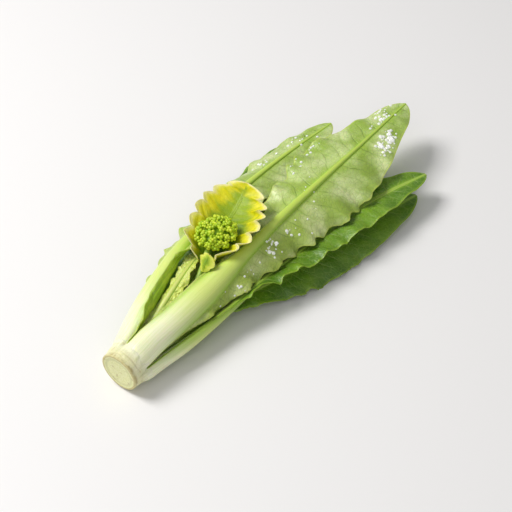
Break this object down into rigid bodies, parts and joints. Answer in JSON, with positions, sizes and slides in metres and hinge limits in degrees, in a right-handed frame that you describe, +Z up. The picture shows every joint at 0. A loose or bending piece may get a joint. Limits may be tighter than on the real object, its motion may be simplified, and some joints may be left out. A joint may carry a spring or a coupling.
{
  "type": "a-choy",
  "caption": "Head of a-choy, the sword-leaf lettuce, lying on its side, with a cut butt, long wavy pointed green leaves and a cluster of green buds in a yellow bract.",
  "frame": {"origin": "middle of the lowest plane of the head's bounding box, on the surface that it lies on", "axes": "+X from the cut butt towards the leaf tips, +Y to the side of the loose left leaf and the bract, +Z up"},
  "size_m": [0.3, 0.1208, 0.0512],
  "materials": {
    "stem": "cream-white to pale green cut stem",
    "leaf_outer": "satin sage-green outer face of a leaf with a pale stalk",
    "leaf_inner": "satin deep green inner face of a leaf",
    "leaf_young": "satin yellow-green young leaf",
    "bract": "satin yellow bract with a pale rim",
    "buds": "satin bright green buds"
  },
  "bodies": {
    "root": {"stem": "stem", "leaf_top": "leaf_outer", "leaf_left": "leaf_outer", "leaf_right": "leaf_inner", "leaf_low_right": "leaf_inner", "leaf_low_left": "leaf_inner", "leaf_bottom": "leaf_inner", "inner_leaf_crinkled": "leaf_young", "inner_leaf_middle": "leaf_young", "inner_leaf_side": "leaf_young", "flower_bract": "bract", "flower_bractlet": "bract", "flower_head": "buds"}
  },
  "joints": []
}
